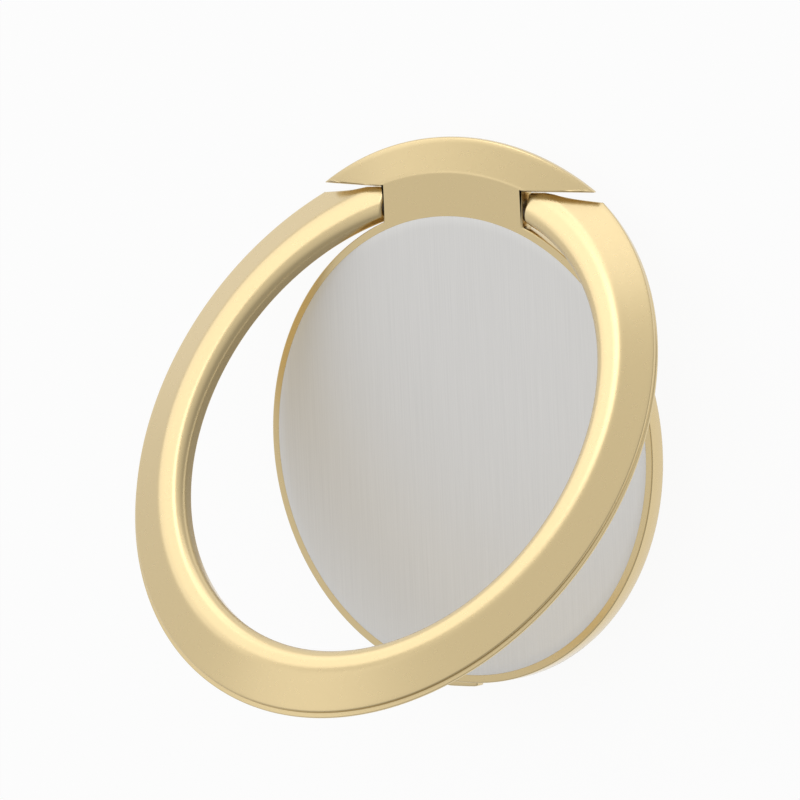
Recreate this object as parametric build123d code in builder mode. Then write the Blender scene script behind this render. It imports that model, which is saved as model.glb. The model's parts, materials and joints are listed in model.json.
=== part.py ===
from build123d import *
import os

# A phone ring holder. A cast carrier plate holds a brushed inlay and carries the finger ring on two
# stub pins in its neck. A rivet under the inlay lets the carrier turn on a base plate, and an
# adhesive pad fixes the base plate to the phone.
# The origin is the centre of the adhesive face. Z points away from the phone, Y towards the hinge.
# Lengths are in millimetres, angles in degrees.

# Carrier plate and the hinge head at its top
plate_thickness = 1.2
disc_radius = 15.45
neck_width = 11.3
neck_reach = 1.25
head_crest_width = 1.1
bevel_width = 2.2
edge_height = 0.4
rim_chamfer = 0.12

# Catch lug at the foot of the disc
lug_width = 2.6
lug_shift = -1.3
lug_reach = 0.3
lug_height = 0.7
lug_corner = 0.2

# Brushed inlay, let into the front of the disc on a ring of double-sided tape
rim_width = 0.55
inlay_thickness = 0.4
inlay_clearance = 0.03
tape_thickness = 0.1
tape_width = 4.0
tape_inset = 0.5

# Finger ring, which lies round the disc and under the head when it is closed
ring_overhang = 0.12
ring_drop = 0.38
edge_drop = 0.2
finger_gap = 0.4
finger_drop = 0.2
nose_depth = 0.45
neck_gap = 0.16
knuckle_gap = 0.05
knuckle_width = 1.1
knuckle_front_round = 0.5
knuckle_back_round = 0.65
shoulder_width = 1.6
end_gap = 0.43
open_angle = 30.5

# Stub pins, each with a friction washer against the side of the neck
hinge_inset = 0.15
pin_diameter = 0.6
pin_grip = 3.0
pin_reach = 2.0
pin_end_room = 0.2
pin_press_clearance = 0.01
pin_running_clearance = 0.02
pin_end_chamfer = 0.08
friction_washer_diameter = 1.0
friction_washer_play = 0.04

# Swivel: rivet, conical spring under its head, and a glide washer between the two plates
base_radius = 13.8
base_thickness = 0.8
base_edge_chamfer = 0.2
glide_inner_radius = 6.0
glide_outer_radius = 12.5
glide_thickness = 0.15
glide_play = 0.03
rivet_shank_radius = 1.5
rivet_head_radius = 2.9
rivet_head_thickness = 0.2
rivet_tail_radius = 2.1
rivet_press_clearance = 0.01
rivet_running_clearance = 0.04
pocket_depth = 0.4
pocket_clearance = 0.3
spring_outer_radius = 4.0
spring_thickness = 0.1
spring_play = 0.02

# Adhesive pad
pad_radius = 13.4
pad_thickness = 0.6

# Levels above the phone
base_top = pad_thickness + base_thickness
carrier_back = base_top + glide_thickness + glide_play
carrier_top = carrier_back + plate_thickness
recess_floor = carrier_top - inlay_thickness - tape_thickness
pocket_floor = recess_floor - pocket_depth
rivet_head_back = recess_floor - rivet_head_thickness
hinge_z = carrier_back + plate_thickness / 2

# Radii and lengths that follow from each other and from the fits
hinge_y = disc_radius - hinge_inset
head_chord = disc_radius + neck_reach
crease_radius = head_chord + head_crest_width
head_radius = crease_radius + bevel_width
ring_radius = head_radius + ring_overhang
finger_radius = disc_radius + finger_gap
inlay_radius = disc_radius - rim_width
recess_radius = inlay_radius + inlay_clearance
tape_radius = inlay_radius - tape_inset
pocket_radius = spring_outer_radius + pocket_clearance
rivet_bore_radius = rivet_shank_radius + rivet_running_clearance
slot_width = neck_width + 2 * neck_gap
pin_length = pin_grip + neck_gap + pin_reach
nose_root = finger_radius + nose_depth
nose_height = plate_thickness / 2
knuckle_radius = head_chord - knuckle_gap - hinge_y
knuckle_end = slot_width / 2 + knuckle_width
shoulder_end = knuckle_end + shoulder_width
end_reach = head_chord - end_gap - hinge_y
flare_height = rivet_tail_radius - rivet_shank_radius

# The ring's own planes turn with it about the hinge axis
hinge_plane = Plane((0, hinge_y, hinge_z)).rotated((-open_angle, 0, 0))
ring_back = hinge_plane.offset(-plate_thickness / 2)
ring_crest = hinge_plane.offset(plate_thickness / 2)
finger_axis_foot = ring_back.from_local_coords((0, -hinge_y - finger_drop, 0))
finger_section = Plane(finger_axis_foot, x_dir=hinge_plane.x_dir, z_dir=-hinge_plane.y_dir)
end_section = Plane(hinge_plane.origin, x_dir=hinge_plane.y_dir, z_dir=hinge_plane.x_dir)

os.makedirs("parts", exist_ok=True)

# Carrier plate: bevelled head, neck and disc in one casting
with BuildPart() as carrier_plate:
    with BuildSketch(Plane.XZ):
        with BuildLine():
            Polyline(
                (0, carrier_back),
                (head_radius, carrier_back),
                (head_radius, carrier_back + edge_height),
                (crease_radius, carrier_top),
                (0, carrier_top),
                close=True,
            )
        make_face()
    revolve(axis=Axis.Z)
    split(bisect_by=Plane.XZ.offset(-head_chord), keep=Keep.BOTTOM)
    with BuildSketch(Plane.XY.offset(carrier_back)):
        Circle(disc_radius)
        Rectangle(neck_width, head_chord, align=(Align.CENTER, Align.MIN))
    extrude(amount=plate_thickness)
    rim_edges = carrier_plate.edges().filter_by(GeomType.CIRCLE).group_by(SortBy.RADIUS)[0]
    chamfer(rim_edges.sort_by(Axis.Z)[-1], rim_chamfer)
    with BuildSketch(Plane.XY.offset(carrier_back)):
        with Locations((lug_shift, -disc_radius)):
            RectangleRounded(lug_width, 2 * lug_reach, lug_corner)
    extrude(amount=lug_height)
    with BuildSketch(Plane.XY.offset(recess_floor)):
        Circle(recess_radius)
    extrude(amount=plate_thickness, mode=Mode.SUBTRACT)
    with BuildSketch(Plane.XY.offset(pocket_floor)):
        Circle(pocket_radius)
    extrude(amount=pocket_depth, mode=Mode.SUBTRACT)
    with BuildSketch(Plane.XY.offset(carrier_back)):
        Circle(rivet_bore_radius)
    extrude(amount=plate_thickness, mode=Mode.SUBTRACT)
    for sign in (-1, 1):
        with BuildSketch(Plane.YZ.offset(sign * neck_width / 2)):
            with Locations((hinge_y, hinge_z)):
                Circle(pin_diameter / 2 + pin_press_clearance)
        extrude(amount=-sign * (pin_grip + pin_end_room), mode=Mode.SUBTRACT)
carrier_plate.part.label = "carrier_plate"
export_step(carrier_plate.part, "parts/carrier_plate.step")

# Inlay disc, flush with the rim
with BuildPart() as face_inlay:
    with BuildSketch(Plane.XY.offset(recess_floor + tape_thickness)):
        Circle(inlay_radius)
    extrude(amount=inlay_thickness)
face_inlay.part.label = "face_inlay"
export_step(face_inlay.part, "parts/face_inlay.step")

with BuildPart() as inlay_tape:
    with BuildSketch(Plane.XY.offset(recess_floor)):
        Circle(tape_radius)
        Circle(tape_radius - tape_width, mode=Mode.SUBTRACT)
    extrude(amount=tape_thickness)
inlay_tape.part.label = "inlay_tape"
export_step(inlay_tape.part, "parts/inlay_tape.step")

# Knuckle section of the ring's ends: round about the hinge axis, so that it clears the head as it
# turns, with the corners at the crest and the back rounded off
with BuildSketch() as knuckle:
    Circle(knuckle_radius)
    Rectangle(2 * knuckle_radius, plate_thickness, mode=Mode.INTERSECT)
    fillet(knuckle.vertices().group_by(Axis.X)[-1].sort_by(Axis.Y)[-1], knuckle_front_round)
    fillet(knuckle.vertices().group_by(Axis.Y)[0].sort_by(Axis.X)[-1], knuckle_back_round)

# Finger ring: a drafted edge, a bevel that widens towards the foot, a flat crest and an oval nose
with BuildPart() as finger_ring:
    for plane, drop, radius in (
        (ring_back, ring_drop, ring_radius),
        (ring_back.offset(edge_height), edge_drop, head_radius),
        (ring_crest, 0, crease_radius),
    ):
        with BuildSketch(plane):
            with Locations((0, -hinge_y - drop)):
                Circle(radius)
    loft(ruled=True)
    with BuildSketch(finger_section):
        with BuildLine():
            Polyline((nose_root, 0), (0, 0), (0, plate_thickness), (nose_root, plate_thickness))
            EllipticalCenterArc(
                (nose_root, nose_height), nose_depth, nose_height, start_angle=90, arc_size=180
            )
        make_face()
    revolve(axis=Axis(finger_section.origin, finger_section.y_dir), mode=Mode.SUBTRACT)
    with BuildSketch(ring_back):
        with Locations((0, -hinge_y)):
            Rectangle(slot_width, 2 * ring_radius, align=(Align.CENTER, Align.MIN))
    extrude(amount=plate_thickness, mode=Mode.SUBTRACT)
    with BuildSketch(ring_back):
        with BuildLine():
            Polyline(
                (-ring_radius, end_reach),
                (-shoulder_end, end_reach),
                (-knuckle_end, knuckle_radius),
                (knuckle_end, knuckle_radius),
                (shoulder_end, end_reach),
                (ring_radius, end_reach),
                (ring_radius, ring_radius),
                (-ring_radius, ring_radius),
                close=True,
            )
        make_face()
    extrude(amount=plate_thickness, mode=Mode.SUBTRACT)
    with BuildSketch(end_section):
        Rectangle(ring_radius, 2 * plate_thickness, align=(Align.MIN, Align.CENTER))
        add(knuckle.sketch_local, mode=Mode.SUBTRACT)
    extrude(amount=ring_radius, both=True, mode=Mode.SUBTRACT)
    with BuildSketch(Plane.YZ):
        with Locations((hinge_y, hinge_z)):
            Circle(pin_diameter / 2 + pin_running_clearance)
    extrude(amount=slot_width / 2 + pin_reach + pin_end_room, both=True, mode=Mode.SUBTRACT)
finger_ring.part.label = "finger_ring"
export_step(finger_ring.part, "parts/finger_ring.step")

# Stub pins, pressed into the neck and standing out into the ends of the ring, with friction washers
for side, sign in (("left", -1), ("right", 1)):
    with BuildPart() as hinge_pin:
        with BuildSketch(Plane.YZ.offset(sign * (neck_width / 2 - pin_grip))):
            with Locations((hinge_y, hinge_z)):
                Circle(pin_diameter / 2)
        extrude(amount=sign * pin_length)
        ends = hinge_pin.edges().filter_by(GeomType.CIRCLE)
        chamfer(ends.sort_by_distance(hinge_plane.origin)[-1], pin_end_chamfer)
    hinge_pin.part.label = f"hinge_pin_{side}"
    export_step(hinge_pin.part, f"parts/hinge_pin_{side}.step")

    with BuildPart() as friction_washer:
        with BuildSketch(Plane.YZ.offset(sign * neck_width / 2)):
            with Locations((hinge_y, hinge_z)):
                Circle(friction_washer_diameter / 2)
                Circle(pin_diameter / 2 + pin_running_clearance, mode=Mode.SUBTRACT)
        extrude(amount=sign * (neck_gap - friction_washer_play))
    friction_washer.part.label = f"friction_washer_{side}"
    export_step(friction_washer.part, f"parts/friction_washer_{side}.step")

# Base plate with a countersunk hole for the rivet's flared tail
with BuildPart() as base_plate:
    with BuildSketch(Plane.XY.offset(pad_thickness)):
        Circle(base_radius)
    extrude(amount=base_thickness)
    chamfer(base_plate.edges().group_by(Axis.Z)[-1], base_edge_chamfer)
    with BuildSketch(Plane.XZ):
        with BuildLine():
            Polyline(
                (0, pad_thickness),
                (rivet_tail_radius + rivet_press_clearance, pad_thickness),
                (rivet_shank_radius + rivet_press_clearance, pad_thickness + flare_height),
                (rivet_shank_radius + rivet_press_clearance, base_top),
                (0, base_top),
                close=True,
            )
        make_face()
    revolve(axis=Axis.Z, mode=Mode.SUBTRACT)
base_plate.part.label = "base_plate"
export_step(base_plate.part, "parts/base_plate.step")

# Swivel rivet: flat head in the carrier's pocket, shank, and a flared tail flush with the base
with BuildPart() as swivel_rivet:
    with BuildSketch(Plane.XZ):
        with BuildLine():
            Polyline(
                (0, pad_thickness),
                (rivet_tail_radius, pad_thickness),
                (rivet_shank_radius, pad_thickness + flare_height),
                (rivet_shank_radius, rivet_head_back),
                (rivet_head_radius, rivet_head_back),
                (rivet_head_radius, recess_floor),
                (0, recess_floor),
                close=True,
            )
        make_face()
    revolve(axis=Axis.Z)
swivel_rivet.part.label = "swivel_rivet"
export_step(swivel_rivet.part, "parts/swivel_rivet.step")

# Conical spring washer between the rivet's head and the pocket floor
with BuildPart() as spring_washer:
    with BuildSketch(Plane.XZ):
        with BuildLine():
            Polyline(
                (rivet_bore_radius, rivet_head_back - spring_play),
                (rivet_bore_radius, rivet_head_back - spring_play - spring_thickness),
                (spring_outer_radius, pocket_floor + spring_play),
                (spring_outer_radius, pocket_floor + spring_play + spring_thickness),
                close=True,
            )
        make_face()
    revolve(axis=Axis.Z)
spring_washer.part.label = "spring_washer"
export_step(spring_washer.part, "parts/spring_washer.step")

with BuildPart() as glide_washer:
    with BuildSketch(Plane.XY.offset(base_top)):
        Circle(glide_outer_radius)
        Circle(glide_inner_radius, mode=Mode.SUBTRACT)
    extrude(amount=glide_thickness)
glide_washer.part.label = "glide_washer"
export_step(glide_washer.part, "parts/glide_washer.step")

with BuildPart() as adhesive_pad:
    with BuildSketch(Plane.XY):
        Circle(pad_radius)
    extrude(amount=pad_thickness)
adhesive_pad.part.label = "adhesive_pad"
export_step(adhesive_pad.part, "parts/adhesive_pad.step")
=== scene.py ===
import json
import math

import bmesh
import bpy
import numpy as np
from mathutils import Matrix, Vector


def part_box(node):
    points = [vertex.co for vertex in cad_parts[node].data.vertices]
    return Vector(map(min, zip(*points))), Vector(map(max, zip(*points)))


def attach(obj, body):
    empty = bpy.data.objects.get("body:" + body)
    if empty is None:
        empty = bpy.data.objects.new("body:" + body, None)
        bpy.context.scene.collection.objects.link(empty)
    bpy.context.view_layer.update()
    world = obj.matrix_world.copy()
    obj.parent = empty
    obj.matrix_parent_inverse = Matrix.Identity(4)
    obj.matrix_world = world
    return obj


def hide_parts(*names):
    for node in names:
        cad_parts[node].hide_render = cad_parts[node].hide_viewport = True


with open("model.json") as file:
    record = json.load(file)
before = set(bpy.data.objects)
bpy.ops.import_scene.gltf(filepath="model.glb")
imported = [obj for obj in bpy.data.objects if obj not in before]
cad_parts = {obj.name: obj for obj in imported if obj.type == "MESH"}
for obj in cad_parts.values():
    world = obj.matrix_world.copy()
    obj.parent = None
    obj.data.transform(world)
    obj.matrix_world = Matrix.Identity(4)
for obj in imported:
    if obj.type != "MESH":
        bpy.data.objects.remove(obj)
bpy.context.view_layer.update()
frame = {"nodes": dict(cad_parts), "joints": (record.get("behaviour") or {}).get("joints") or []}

MM = 0.001


def frame_box(node):
    """A frame node's lowest and highest corners, in millimetres."""
    low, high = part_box(node)
    return np.array(low) / MM, np.array(high) / MM


# Sizes that the frame gives, in millimetres
joints = {joint["name"]: joint for joint in frame["joints"]}
carrier_low, carrier_high = frame_box("carrier_plate")
inlay_low, inlay_high = frame_box("face_inlay")
base_low, base_high = frame_box("base_plate")
pad_low, pad_high = frame_box("adhesive_pad")
pin_low, pin_high = frame_box("hinge_pin_right")
_, ring_high = frame_box("finger_ring")
hinge_y, hinge_z = np.array(joints["ring_flip"]["pos_m"][1:]) / MM
open_angle = math.radians(-joints["ring_flip"]["range_deg"][0])

# Carrier plate, in millimetres; what the frame does not spell out is as in the solids
disc_radius = carrier_high[0]
head_radius = carrier_high[1]
carrier_back = carrier_low[2]
carrier_top = carrier_high[2]
plate_thickness = carrier_top - carrier_back
inlay_radius = inlay_high[0]
inlay_clearance = 0.03
recess_radius = inlay_radius + inlay_clearance
tape_thickness = 0.1
recess_floor = inlay_low[2] - tape_thickness
pocket_radius = 4.3
pocket_depth = 0.4
rivet_bore_radius = 1.54
head_chord = 16.7
neck_width = 11.3
edge_height = 0.4
crease_radius = 17.8
crease_reach = 0.12

# Catch lug at the foot of the disc
lug_width = 2.6
lug_shift = -1.3
lug_reach = 0.3
lug_height = 0.7

# Finger ring, as it lies when it is closed
ring_radius = ring_high[0]
ring_drop = 0.38
edge_drop = 0.2
finger_gap = 0.4
finger_drop = 0.2
neck_gap = 0.16
knuckle_gap = 0.05
knuckle_width = 1.1
knuckle_front_round = 0.5
knuckle_back_round = 0.65
shoulder_width = 1.6
end_gap = 0.43
nose_depth = 0.85
nose_height = 0.55
nose_back_round = 0.2
crease_fall = 0.05
lip_height = 0.16
lip_rise = 0.04
lip_round = 0.05
soft_crease_reach = 0.2
bead_reach = 0.08

# Sockets of the stub pins, and how far from the hinge axis edges stay sharp, in socket radii
pin_bore_radius = 0.31
pin_hole_radius = 0.32
pin_end_room = 0.2
socket_margin = 1.2

# Rounding of edges, and the fold from which an edge counts as sharp
edge_round = 0.1
tail_round = 0.16
end_round = 0.08
inlay_round = 0.02
base_round = 0.15
pad_round = 0.08
sharp_fold = math.radians(40)

# Sizes that follow from the ones above
finger_radius = disc_radius + finger_gap
slot_half = neck_width / 2 + neck_gap
knuckle_radius = head_chord - knuckle_gap - hinge_y
knuckle_end = slot_half + knuckle_width
shoulder_end = knuckle_end + shoulder_width
end_reach = head_chord - end_gap - hinge_y

# The photograph's view: an orthographic camera, turned about its own axis so that Y is up in the picture
view_azimuth = math.radians(99.9)
view_elevation = math.radians(51.93)
view_roll = math.radians(100.3)
view_width = 51.71
aim_right = -4.764
aim_up = 2.823
camera_distance = 300.0

# Points of the same cell are welded into one
cells_per_mm = 1e4


# Meshes

def grid_faces(rows, columns):
    """Corner numbers of each cell of a grid of points, row by row."""
    row = np.arange(rows - 1)[:, None]
    column = np.arange(columns - 1)
    near = row * columns + column
    far = near + columns
    return np.stack((near, near + 1, far + 1, far), axis=-1).reshape(-1, 4)


def weld(name, grids, loops=()):
    """A piece from grids of points and flat faces given as loops of points.

    Points that fall in the same 0.1 micron cell become one, so grids that share an edge close up.
    """
    points = [grid.reshape(-1, 3) for grid in grids] + list(loops)
    starts = np.cumsum([0] + [len(group) for group in points])
    cells = [grid_faces(*grid.shape[:2]) + start for grid, start in zip(grids, starts)]
    cells = np.concatenate(cells)
    points = np.concatenate(points)
    keys = np.round(points * cells_per_mm).astype(np.int64)
    _, first, index = np.unique(keys, axis=0, return_index=True, return_inverse=True)
    index = index.reshape(-1)
    cells = index[cells]
    repeats = cells == np.roll(cells, 1, axis=1)
    faces = cells[~repeats.any(axis=1)].tolist()
    faces += [list(dict.fromkeys(cell)) for cell in cells[repeats.any(axis=1)].tolist()]
    faces = [face for face in faces if len(face) > 2]
    for start, loop in zip(starts[len(grids):], loops):
        faces.append(list(dict.fromkeys(index[start:start + len(loop)].tolist())))
    mesh = bpy.data.meshes.new(name)
    mesh.from_pydata((points[first] * MM).tolist(), [], faces)
    shell = bmesh.new()
    shell.from_mesh(mesh)
    bmesh.ops.recalc_face_normals(shell, faces=shell.faces)
    shell.to_mesh(mesh)
    shell.free()
    mesh.shade_smooth()
    piece = bpy.data.objects.new(name, mesh)
    bpy.context.scene.collection.objects.link(piece)
    return piece


def round_edges(piece, width, share=None, segments=3):
    """Rounds edges sharper than 40 degrees, and lets the flat faces keep their own normals.

    Where a share is given, it takes the edges' end points, in millimetres, and gives the share of
    the width by which each sharp edge is rounded.
    """
    mesh = piece.data
    bevel = piece.modifiers.new("rounded_edges", "BEVEL")
    bevel.width = width * MM
    bevel.segments = segments
    bevel.use_clamp_overlap = False
    bevel.limit_method = "ANGLE"
    bevel.angle_limit = sharp_fold
    if share:
        ends = np.empty(2 * len(mesh.edges), int)
        mesh.edges.foreach_get("vertices", ends)
        points = np.empty(3 * len(mesh.vertices))
        mesh.vertices.foreach_get("co", points)
        part = share(points.reshape(-1, 3)[ends.reshape(-1, 2)] / MM)
        weight = mesh.attributes.new("bevel_weight_edge", "FLOAT", "EDGE")
        weight.data.foreach_set("value", part * (fold(mesh) > bevel.angle_limit))
        bevel.limit_method = "WEIGHT"
    normals = piece.modifiers.new("flat_face_normals", "WEIGHTED_NORMAL")
    normals.keep_sharp = True


def fold(mesh):
    """The angle between the two faces at each edge, in radians; open edges count as flat."""
    corner_edge = np.empty(len(mesh.loops), int)
    mesh.loops.foreach_get("edge_index", corner_edge)
    sides = np.empty(len(mesh.polygons), int)
    mesh.polygons.foreach_get("loop_total", sides)
    normal = np.empty(3 * len(mesh.polygons))
    mesh.polygons.foreach_get("normal", normal)
    corner_normal = np.repeat(normal.reshape(-1, 3), sides, axis=0)[np.argsort(corner_edge, kind="stable")]
    count = np.bincount(corner_edge, minlength=len(mesh.edges))
    first = np.cumsum(count) - count
    paired = count == 2
    angle = np.zeros(len(mesh.edges))
    dots = np.sum(corner_normal[first[paired]] * corner_normal[first[paired] + 1], axis=1)
    angle[paired] = np.arccos(np.clip(dots, -1, 1))
    return angle


def lathe(profile, turns):
    """A profile of (radius, height) points turned about Z: (r cos a, r sin a, h) for each angle a."""
    radius, height = np.asarray(profile, float).T
    angle = np.linspace(0, 2 * np.pi, turns + 1)[:, None]
    height = np.broadcast_to(height, (turns + 1, len(radius)))
    return np.stack((radius * np.cos(angle), radius * np.sin(angle), height), axis=-1)


def circle(radius, height, turns):
    """Points of a level circle about Z, anticlockwise from the X axis."""
    return lathe([(radius, height)], turns)[:-1, 0]


def level(xy, height):
    """Flat points lifted to one height, or each to its own."""
    return np.column_stack((xy, np.broadcast_to(height, len(xy))))


def run(start, end, shares):
    """Points at the given shares of a straight run."""
    start, end = np.asarray(start, float), np.asarray(end, float)
    return start + (end - start) * np.asarray(shares, float)[:, None]


def blend(before, corner, after, reach, steps=7):
    """A rounded corner: the parabola that leaves both runs at the given reach from the corner."""
    before, corner, after = (np.asarray(point, float) for point in (before, corner, after))
    start = corner + (before - corner) / np.linalg.norm(before - corner) * reach
    end = corner + (after - corner) / np.linalg.norm(after - corner) * reach
    share = np.linspace(0, 1, steps)[:, None]
    return (1 - share) ** 2 * start + 2 * share * (1 - share) * corner + share ** 2 * end


def split_annulus(outer, inner):
    """A flat face with a hole as two loops: both outlines are cut at two facing points."""
    half = len(inner) // 2
    near, far = (np.argmin(np.linalg.norm(outer - inner[k], axis=1)) for k in (0, half))
    outer = np.roll(outer, -near, axis=0)
    far = (far - near) % len(outer)
    first = np.concatenate((outer[:far + 1], inner[half::-1]))
    second = np.concatenate((outer[far:], outer[:1], inner[:1], inner[:half - 1:-1]))
    return [first, second]


# Carrier plate

def carrier_plate():
    """Disc, neck and bevelled head as one plate.

    The bevel is a grid of radius r by share s of the arc: its angle runs from a to pi - a, where
    sin a = chord / r, and its height falls evenly from the crease to the upright edge. The other
    faces are upright walls under the outline and flat faces inside it.
    """
    turns = 360
    arc_points = 121
    neck = neck_width / 2
    foot_angle = math.acos(neck / disc_radius)
    rim_angle = np.linspace(math.pi - foot_angle, 2 * math.pi + foot_angle, turns)
    rim = disc_radius * np.column_stack((np.cos(rim_angle), np.sin(rim_angle)))
    corner_right = np.array([[neck, head_chord]])
    corner_left = corner_right * (-1, 1)

    edge_top = (head_radius, carrier_back + edge_height)
    crease = (crease_radius, carrier_top)
    crease_blend = blend(edge_top, crease, (0, carrier_top), crease_reach)
    fall = np.vstack((run(edge_top, crease_blend[0], (0, 0.2, 0.5, 0.8, 0.95)), crease_blend))
    share = np.linspace(0, 1, arc_points)
    radius = fall[:, :1]
    bevel_height = fall[:, 1]
    start = np.arcsin(head_chord / radius)
    angle = start + share * (np.pi - 2 * start)
    height = np.broadcast_to(bevel_height[:, None], angle.shape)
    bevel = np.stack((radius * np.cos(angle), radius * np.sin(angle), height), axis=-1)
    outer_arc = bevel[0, :, :2]
    crease_arc = bevel[-1, :, :2]
    chord_right = np.concatenate((corner_right, bevel[::-1, 0, :2]))
    chord_height = np.concatenate(([carrier_top], bevel_height[::-1]))
    chord_left = chord_right * (-1, 1)

    def wall(line, top):
        """An upright wall from the back of the plate to the given height."""
        return np.stack((level(line, carrier_back), level(line, top)))

    grids = [
        wall(rim, carrier_top),
        wall(outer_arc, carrier_back + edge_height),
        wall(chord_right, chord_height),
        wall(chord_left, chord_height),
        bevel,
    ]
    pocket_floor = recess_floor - pocket_depth
    recess = [
        (recess_radius, carrier_top),
        (recess_radius, recess_floor),
        (pocket_radius, recess_floor),
        (pocket_radius, pocket_floor),
        (rivet_bore_radius, pocket_floor),
        (rivet_bore_radius, carrier_back),
    ]
    grids.append(lathe(recess, turns))
    top_line = np.concatenate((rim, corner_right, crease_arc, corner_left))
    back_line = np.concatenate((rim, chord_right, outer_arc, chord_left[::-1]))
    loops = split_annulus(level(top_line, carrier_top), circle(recess_radius, carrier_top, turns))
    loops += split_annulus(level(back_line, carrier_back), circle(rivet_bore_radius, carrier_back, turns))

    neck_foot = rim[-1, 1]
    side = np.array([(neck_foot, carrier_back), (head_chord, carrier_back),
                     (head_chord, carrier_top), (neck_foot, carrier_top)])
    for sign in (-1, 1):
        wall_face = np.column_stack((np.full(len(side), sign * neck), side))
        floor_x = sign * (pin_low[0] - pin_end_room)
        bore, floor_face, mouth = pin_socket(sign * neck, floor_x, pin_bore_radius)
        grids.append(bore)
        loops.append(floor_face)
        loops += split_annulus(wall_face, mouth)
    return weld("carrier_casting", grids, loops)


def pin_socket(mouth_x, floor_x, radius):
    """A blind round hole along the hinge axis: its wall, its floor and the line of its mouth."""
    angle = np.linspace(0, 2 * np.pi, 25)
    line = np.column_stack((hinge_y + radius * np.cos(angle), hinge_z + radius * np.sin(angle)))
    mouth, floor_line = (np.column_stack((np.full(len(line), x), line)) for x in (mouth_x, floor_x))
    return np.stack((mouth, floor_line)), floor_line[:-1], mouth[:-1]


def clear_of_sockets(ends):
    """Marks the edges, given by their end points, that lie clear of the pin sockets."""
    away = np.hypot(ends[..., 1] - hinge_y, ends[..., 2] - hinge_z)
    return (away > socket_margin * pin_hole_radius).all(axis=1)


def carrier_outline(ends):
    """Marks the carrier's outer edges: those outside the recess and clear of the pin sockets."""
    outside = np.hypot(ends[..., 0], ends[..., 1]) > recess_radius + edge_round
    return outside.all(axis=1) & clear_of_sockets(ends)


def catch_lug():
    """The lug at the foot of the disc: a bar with round corners, drawn out upwards.

    Its outline is x = w / 2 |cos a|^q and y = d |sin a|^q, with the signs of the cosine and sine,
    where w is its width, d its reach and q its squareness.
    """
    angle = np.linspace(0, 2 * np.pi, 49)
    squareness = 0.35
    across = np.sign(np.cos(angle)) * np.abs(np.cos(angle)) ** squareness
    along = np.sign(np.sin(angle)) * np.abs(np.sin(angle)) ** squareness
    line = np.column_stack((lug_shift + lug_width / 2 * across, lug_reach * along - disc_radius))
    low, high = carrier_back, carrier_back + lug_height
    wall = np.stack((level(line, low), level(line, high)))
    return weld("catch_lug", [wall], [level(line[:-1], low), level(line[:-1], high)])


# Finger ring

def crowned(low, top, shares):
    """Points at the given shares of a run that rises to its top as a parabola and is level there."""
    shares = np.asarray(shares, float)
    points = run(low, top, shares)
    points[:, 2] = top[2] - (top[2] - low[2]) * (1 - shares) ** 2
    return points


def ring_section():
    """The ring's section, from the outer edge of its back to its nose.

    Its rows are centre offset, radius and height, and with it come the rows at which the crest starts
    and ends. The section has an edge with a narrow lip, a bevel, a slightly crowned crest, and a nose
    that falls off in a quarter oval to a short wall. The circles that its corners follow have centres a
    little apart on Y, so the bevel widens towards the foot.
    """
    crown_offset = -finger_drop / 3
    crown_y = hinge_y + knuckle_reach(plate_thickness)
    outer_back = (-ring_drop, ring_radius, 0)
    outer_top = (-edge_drop, head_radius, edge_height)
    crease = (0, crease_radius, plate_thickness - crease_fall)
    crown = (crown_offset, math.hypot(slot_half, crown_y - crown_offset), plate_thickness)
    lip_outer = (-ring_drop, ring_radius, lip_height)
    lip_inner = (-edge_drop, head_radius, lip_height + lip_rise)
    inner_back = (-finger_drop, finger_radius, 0)

    turn = np.linspace(np.pi / 2, 0, 14)
    inward, upward = 1 - np.cos(turn), 1 - np.sin(turn)
    nose = np.column_stack((
        np.full(2 * len(turn), -finger_drop),
        finger_radius + np.concatenate((nose_depth * inward, nose_back_round * inward[::-1])),
        np.concatenate((plate_thickness - nose_height * upward, nose_back_round * upward[::-1])),
    ))
    nose_root = nose[0]
    edge = np.vstack((
        blend(inner_back, outer_back, lip_outer, lip_round, 4),
        blend(outer_back, lip_outer, lip_inner, lip_round, 5),
        blend(lip_outer, lip_inner, outer_top, lip_round / 2, 4),
    ))
    top_bead = blend(lip_inner, outer_top, crease, bead_reach)
    crest = crowned(crease, crown, np.linspace(0.6, 0.95, 12))
    crease_blend = blend(outer_top, crease, crest[0], soft_crease_reach)
    bevel = run(top_bead[-1], crease_blend[0], (0.1, 0.3, 0.5, 0.7, 0.9))
    outside = np.vstack((edge, top_bead, bevel, crease_blend, crest))
    section = np.vstack((outside, crown, run(crown, nose_root, (0.3, 0.7)), nose))
    return section, len(outside) - len(crest) - 1, len(outside)


def knuckle_reach(height):
    """How far the ring's knuckle reaches past the hinge axis, at heights above the ring's back.

    With v the height above the axis, it is the round sqrt(R^2 - v^2) about the axis. It runs into
    smaller rounds at the crest and at the back: one of radius r that touches the face at t / 2 has its
    centre at the level L = t / 2 - r and at sqrt((R - r)^2 - L^2) from the axis.
    """
    above = np.asarray(height, float) - plate_thickness / 2
    reach = np.sqrt(knuckle_radius ** 2 - above ** 2)
    for side, radius in ((1, knuckle_front_round), (-1, knuckle_back_round)):
        middle = side * (plate_thickness / 2 - radius)
        centre = math.sqrt((knuckle_radius - radius) ** 2 - middle ** 2)
        touch = middle * knuckle_radius / (knuckle_radius - radius)
        rounded = centre + np.sqrt(np.maximum(radius ** 2 - (above - middle) ** 2, 0))
        reach = np.where(side * (above - touch) > 0, rounded, reach)
    return reach


def end_line(height, across):
    """The y at which the ring ends: a knuckle near the neck, then a shoulder to the set-back end."""
    plan = np.interp(np.abs(across), (knuckle_end, shoulder_end), (knuckle_radius, end_reach))
    return hinge_y + np.minimum(knuckle_reach(height), plan)


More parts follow.
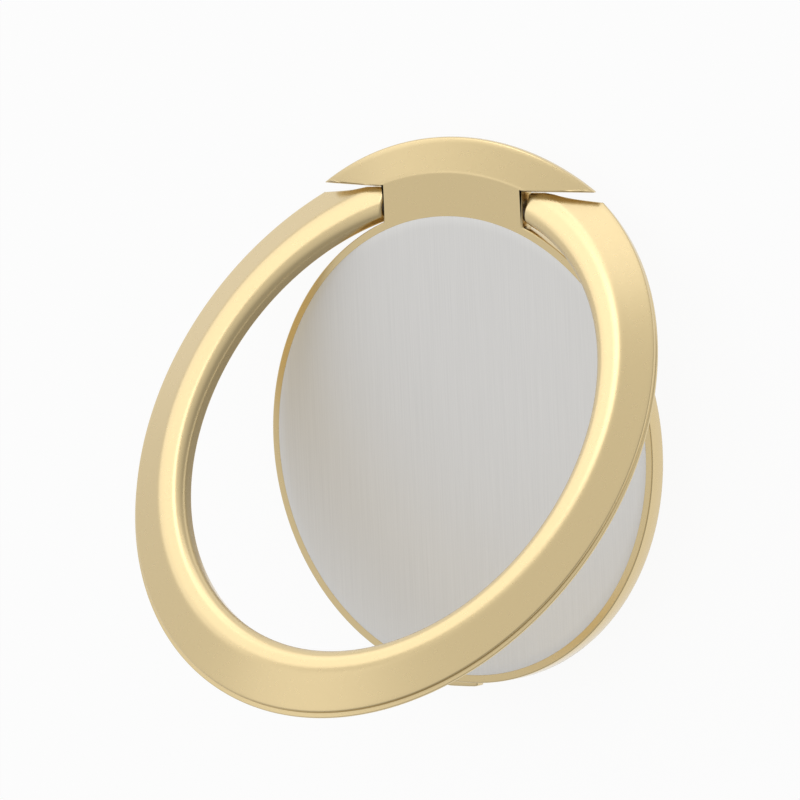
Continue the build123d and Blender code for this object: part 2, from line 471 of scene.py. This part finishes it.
def end_angle(offset, radius, height):
    """The angles at which the section's circles meet the end line, found by halving a quarter turn."""
    halvings = 50
    low, high = np.zeros(len(radius)), np.full(len(radius), np.pi / 2)
    for _ in range(halvings):
        middle = (low + high) / 2
        inside = offset + radius * np.sin(middle) < end_line(height, radius * np.cos(middle))
        low, high = np.where(inside, middle, low), np.where(inside, high, middle)
    return low


def swing(points):
    """Turns closed-ring points about the hinge axis to where the ring stands at rest."""
    x, y, z = np.moveaxis(points, -1, 0)
    y, z = y - hinge_y, z - hinge_z
    turned_y = hinge_y + y * math.cos(open_angle) + z * math.sin(open_angle)
    turned_z = hinge_z - y * math.sin(open_angle) + z * math.cos(open_angle)
    return np.stack((x, turned_y, turned_z), axis=-1)


def finger_ring():
    """The section carried round from one end of the ring to the other, and closed by knuckle ends.

    A point of offset c, radius r and height h goes to (r cos a, c + r sin a, h). Its angle a starts
    where the circle meets the end line or the cut beside the neck, whichever comes first, runs down
    round the foot, and ends in the mirror image of its start. The end's face runs along X at each
    height, from the tube's end to the cut, on the end line.
    """
    turn_points = 361
    section, top, crown = ring_section()
    offset, radius, height = section.T
    beside_neck = np.arccos(slot_half / radius)
    start = np.where(np.arange(len(section)) <= crown, end_angle(offset, radius, height), beside_neck)
    share = np.linspace(0, 1, turn_points)[:, None]
    angle = start - share * (np.pi + 2 * start)
    lift = np.broadcast_to(height, angle.shape)
    tube = np.stack((radius * np.cos(angle), offset + radius * np.sin(angle), lift), axis=-1)

    span = tube[0, :crown + 1, 0] - slot_half
    crest = height[top:crown + 1]
    rise = np.linspace(0, 1, 4)[1:, None]
    below = np.broadcast_to(height[:top + 1, None], (top + 1, len(crest)))
    levels = np.vstack((below, height[top] + rise * (crest - height[top])))
    span_at_level = np.concatenate((span[:top + 1], np.full(len(rise), span[top])))
    across = slot_half + np.outer(span_at_level, span[top:] / span[top])
    grids = [tube]
    loops = []
    knuckles = []
    for end, sign in ((tube[0], 1), (tube[-1], -1)):
        knuckle = np.stack((sign * across, end_line(levels, across), levels), axis=-1)
        side = np.concatenate((end[crown:], knuckle[:-1, -1]))
        socket = pin_socket(sign * slot_half, sign * (pin_high[0] + pin_end_room), pin_hole_radius)
        bore, floor_line, mouth = (part - (0, 0, carrier_back) for part in socket)
        grids += [knuckle, bore]
        loops.append(floor_line)
        loops += split_annulus(side, mouth)
        knuckles.append(knuckle)
    right, left = knuckles
    loops.append(np.concatenate((tube[:, 0], left[0, 1:], tube[::-1, -1], right[0, :0:-1])))
    lifted = (0, 0, carrier_back)
    return weld("finger_ring_casting", [swing(grid + lifted) for grid in grids],
                [swing(loop + lifted) for loop in loops])


def ring_rounding(ends):
    """Share of the rounding for the ring's edges: full beside the neck, less at the ends.

    The edges of the pin sockets stay sharp.
    """
    tolerance = 0.001
    beside = (np.abs(np.abs(ends[..., 0]) - slot_half) < tolerance).all(axis=1)
    return np.where(beside, 1.0, end_round / tail_round) * clear_of_sockets(ends)


# Turned pieces

def turned(name, profile, turns=240):
    """A profile that starts and ends on the axis, turned about Z to a closed solid."""
    return weld(name, [lathe(profile, turns)])


def disc_profile(radius, low, high, rings=24):
    """Outline of a flat disc from the middle of its back to the middle of its front."""
    share = np.linspace(0, 1, rings)
    back = np.column_stack((radius * share, np.full(rings, low)))
    front = np.column_stack((radius * share[::-1], np.full(rings, high)))
    return np.vstack((back, front))


carrier_casting = carrier_plate()
lug = catch_lug()
ring_casting = finger_ring()
inlay_disc = turned("inlay_disc", disc_profile(recess_radius, inlay_low[2], inlay_high[2]))
base_disc = turned("base_disc", disc_profile(base_high[0], base_low[2], base_high[2]))
foam_pad = turned("foam_pad", disc_profile(pad_high[0], pad_low[2], pad_high[2]))
round_edges(carrier_casting, edge_round, carrier_outline)
round_edges(lug, edge_round)
round_edges(ring_casting, tail_round, ring_rounding)
round_edges(inlay_disc, inlay_round)
round_edges(base_disc, base_round)
round_edges(foam_pad, pad_round)


# Materials

def linear(code):
    """A colour written as sRGB hex, in linear light with full alpha."""
    values = np.array([int(code[k:k + 2], 16) for k in (1, 3, 5)]) / 255
    low, high = values / 12.92, ((values + 0.055) / 1.055) ** 2.4
    return (*np.where(values <= 0.04045, low, high), 1.0)


def add(tree, kind, links=(), **settings):
    """A node with its settings; links are (input name, output socket) pairs."""
    node = tree.nodes.new(kind)
    for key, value in settings.items():
        if hasattr(node, key):
            setattr(node, key, value)
        else:
            node.inputs[key.replace("_", " ")].default_value = value
    for name, socket in links:
        tree.links.new(socket, node.inputs[name])
    return node


def start_material(name):
    """An empty node material and its output node."""
    material = bpy.data.materials.new(name)
    material.use_nodes = True
    tree = material.node_tree
    tree.nodes.clear()
    return material, tree, tree.nodes.new("ShaderNodeOutputMaterial")


def satin_gold_plate():
    """Gold plate over a satin zinc casting, under a thin clear lacquer that gives paler highlights."""
    grain_mm = 0.4
    material, tree, output = start_material("satin_gold_plate")
    place = add(tree, "ShaderNodeTexCoord").outputs["Object"]
    grain = add(tree, "ShaderNodeTexNoise", [("Vector", place)], Scale=1 / (grain_mm * MM), Detail=2.0)
    rough = add(tree, "ShaderNodeMapRange", [("Value", grain.outputs["Fac"])], To_Min=0.26, To_Max=0.3)
    metal = add(tree, "ShaderNodeBsdfPrincipled", [("Roughness", rough.outputs["Result"])],
                Base_Color=linear("#DCC591"), Metallic=1.0,
                Coat_Weight=1.0, Coat_Roughness=0.2, Coat_IOR=1.6)
    tree.links.new(metal.outputs["BSDF"], output.inputs["Surface"])
    return material


def brushed_steel():
    """Stainless steel brushed along Y: fine straight streaks that vary in shade and roughness."""
    streak_width_mm = 0.09
    streak_length_mm = 6.0
    material, tree, output = start_material("brushed_steel")
    place = add(tree, "ShaderNodeTexCoord").outputs["Object"]
    stretch = (1 / (streak_width_mm * MM), 1 / (streak_length_mm * MM), 1 / MM)
    lines = add(tree, "ShaderNodeMapping", [("Vector", place)], Scale=stretch)
    streak = add(tree, "ShaderNodeTexNoise", [("Vector", lines.outputs["Vector"])], Scale=1.0, Detail=3.0)
    rough = add(tree, "ShaderNodeMapRange", [("Value", streak.outputs["Fac"])], To_Min=0.5, To_Max=0.58)
    bump = add(tree, "ShaderNodeBump", [("Height", streak.outputs["Fac"])],
               Strength=0.05, Distance=0.01 * MM)
    colour = add(tree, "ShaderNodeValToRGB", [("Fac", streak.outputs["Fac"])])
    colour.color_ramp.elements[0].position = 0.25
    colour.color_ramp.elements[1].position = 0.75
    colour.color_ramp.elements[0].color = linear("#E8E7E5")
    colour.color_ramp.elements[1].color = linear("#EEEDEB")
    metal = add(tree, "ShaderNodeBsdfPrincipled",
                [("Base Color", colour.outputs["Color"]), ("Roughness", rough.outputs["Result"]),
                 ("Normal", bump.outputs["Normal"])], Metallic=1.0)
    tree.links.new(metal.outputs["BSDF"], output.inputs["Surface"])
    return material


def plain_material(name, code, roughness, metallic, mottle_mm):
    """A plain surface whose roughness drifts a little over patches of the given size."""
    drift = 0.06
    material, tree, output = start_material(name)
    place = add(tree, "ShaderNodeTexCoord").outputs["Object"]
    patch = add(tree, "ShaderNodeTexNoise", [("Vector", place)], Scale=1 / (mottle_mm * MM), Detail=3.0)
    rough = add(tree, "ShaderNodeMapRange", [("Value", patch.outputs["Fac"])],
                To_Min=roughness - drift, To_Max=roughness + drift)
    surface = add(tree, "ShaderNodeBsdfPrincipled", [("Roughness", rough.outputs["Result"])],
                  Base_Color=linear(code), Metallic=metallic)
    tree.links.new(surface.outputs["BSDF"], output.inputs["Surface"])
    return material


gold = satin_gold_plate()
inlay_steel = brushed_steel()
# Stamped steel sheet, a dull grey; drawn steel, brighter and smoother
base_steel = plain_material("stamped_steel", "#B9B8B5", 0.4, 1.0, 0.5)
bright_steel = plain_material("drawn_spring_steel", "#C4C3C0", 0.25, 1.0, 0.3)
# Moulded acetal with a soft gloss, in a dark brown that also serves as painted shade in the gaps beside
# the neck; matt black foam tape, and a pale film with adhesive on both sides
acetal_and_painted_gap_shade = plain_material("brown_acetal_painted_gap_shade", "#4E3F2B", 0.45, 0.0, 0.6)
foam = plain_material("acrylic_foam_tape", "#2B2A29", 0.8, 0.0, 0.2)
film = plain_material("adhesive_film", "#D8D6CE", 0.5, 0.0, 0.8)


def dress(piece, material):
    """Gives a piece, or a frame node, one material."""
    piece.data.materials.clear()
    piece.data.materials.append(material)


for piece, body, node, slot, material in (
    (carrier_casting, "carrier", "carrier_plate", "gold_plated_zinc", gold),
    (lug, "carrier", "carrier_plate", "gold_plated_zinc", gold),
    (ring_casting, "ring", "finger_ring", "gold_plated_zinc", gold),
    (inlay_disc, "carrier", "face_inlay", "brushed_inlay_steel", inlay_steel),
    (base_disc, "base", "base_plate", "base_steel", base_steel),
    (foam_pad, "base", "adhesive_pad", "adhesive_foam", foam),
):
    dress(piece, material)
    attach(piece, body)
    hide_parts(node)

for node, material in (
    ("hinge_pin_left", bright_steel),
    ("hinge_pin_right", bright_steel),
    # The friction washers' dark brown is painted shade for the gaps between the neck and the ring's ends
    ("friction_washer_left", acetal_and_painted_gap_shade),
    ("friction_washer_right", acetal_and_painted_gap_shade),
    ("swivel_rivet", bright_steel),
    ("spring_washer", bright_steel),
    ("glide_washer", acetal_and_painted_gap_shade),
    ("inlay_tape", film),
):
    dress(frame["nodes"][node], material)


# Floor, light and camera

def floor():
    """A wide level floor, a hair below the pad.

    The camera and reflections see it as white, but for a small share of paper that keeps the shadow.
    """
    half = 1500.0
    depth = -0.05
    white_share = 0.93
    corner = np.array((-half, half))
    grid = np.stack([*np.meshgrid(corner, corner), np.full((2, 2), depth)], axis=-1)
    piece = weld("floor", [grid])
    material, tree, output = start_material("white_paper")
    paper = add(tree, "ShaderNodeBsdfDiffuse", Color=linear("#F8F8F8"))
    white = add(tree, "ShaderNodeEmission", Color=linear("#FFFFFF"), Strength=1.0)
    ray = add(tree, "ShaderNodeLightPath")
    seen = ray.outputs["Is Camera Ray"]
    for kind in ("Is Glossy Ray", "Is Transmission Ray"):
        either = add(tree, "ShaderNodeMath", [(0, seen), (1, ray.outputs[kind])], operation="MAXIMUM")
        seen = either.outputs[0]
    share = add(tree, "ShaderNodeMath", [(0, seen)], operation="MULTIPLY")
    share.inputs[1].default_value = white_share
    mix = add(tree, "ShaderNodeMixShader", [(0, share.outputs[0]), (1, paper.outputs["BSDF"]),
                                            (2, white.outputs["Emission"])])
    tree.links.new(mix.outputs["Shader"], output.inputs["Surface"])
    dress(piece, material)


def softbox(name, direction, width, height, watts):
    """A rectangular area light, sizes in metres, that faces the object from a direction."""
    distance = 0.6
    lamp = bpy.data.lights.new(name, "AREA")
    lamp.shape = "RECTANGLE"
    lamp.size = width
    lamp.size_y = height
    lamp.energy = watts
    box = bpy.data.objects.new(name, lamp)
    place = Vector(direction).normalized() * distance
    box.location = place
    box.rotation_euler = place.to_track_quat("Z", "Y").to_euler()
    bpy.context.scene.collection.objects.link(box)


def studio():
    """Soft studio light: a room that is lighter on one side, and a few large softboxes."""
    light_side = (-0.64, 0.5, 0.58)
    dark_level = 0.42
    light_level = 0.8
    world = bpy.data.worlds.new("studio")
    bpy.context.scene.world = world
    world.use_nodes = True
    tree = world.node_tree
    room = tree.nodes["Background"]
    room.inputs["Color"].default_value = linear("#FFFFFF")
    direction = add(tree, "ShaderNodeTexCoord").outputs["Generated"]
    toward_light = add(tree, "ShaderNodeVectorMath", [(0, direction)], operation="DOT_PRODUCT")
    toward_light.inputs[1].default_value = light_side
    strength = add(tree, "ShaderNodeMapRange", [("Value", toward_light.outputs["Value"])],
                   From_Min=0.1, From_Max=0.75, To_Min=dark_level, To_Max=light_level)
    tree.links.new(strength.outputs["Result"], room.inputs["Strength"])
    softbox("key", (-0.6, 0.7, 0.38), 0.46, 0.28, 0.28)
    softbox("core", (-0.4, 0.72, 0.56), 0.14, 0.14, 0.1)
    softbox("back", (-0.26, 0.93, 0.24), 0.26, 0.2, 0.115)
    softbox("top", (-0.6, 0.25, 0.76), 0.2, 0.2, 0.05)


def camera():
    """An orthographic camera: its back axis from azimuth and elevation, then a roll about that axis."""
    back = Vector((math.sin(view_azimuth) * math.cos(view_elevation),
                   -math.cos(view_azimuth) * math.cos(view_elevation),
                   math.sin(view_elevation)))
    level_right = Vector((0, 0, 1)).cross(back).normalized()
    level_up = back.cross(level_right)
    up = level_up * math.cos(view_roll) + level_right * math.sin(view_roll)
    right = up.cross(back)
    lens = bpy.data.cameras.new("camera")
    lens.type = "ORTHO"
    lens.ortho_scale = view_width * MM
    lens.clip_start = 0.001
    lens.clip_end = 10.0
    eye = bpy.data.objects.new("camera", lens)
    aim = Vector((0, 0, carrier_back)) + aim_right * right + aim_up * up
    turn = Matrix((right, up, back)).transposed().to_4x4()
    eye.matrix_world = Matrix.Translation((aim + camera_distance * back) * MM) @ turn
    bpy.context.scene.collection.objects.link(eye)
    bpy.context.scene.camera = eye


floor()
studio()
camera()
bpy.context.scene.view_settings.view_transform = "Standard"
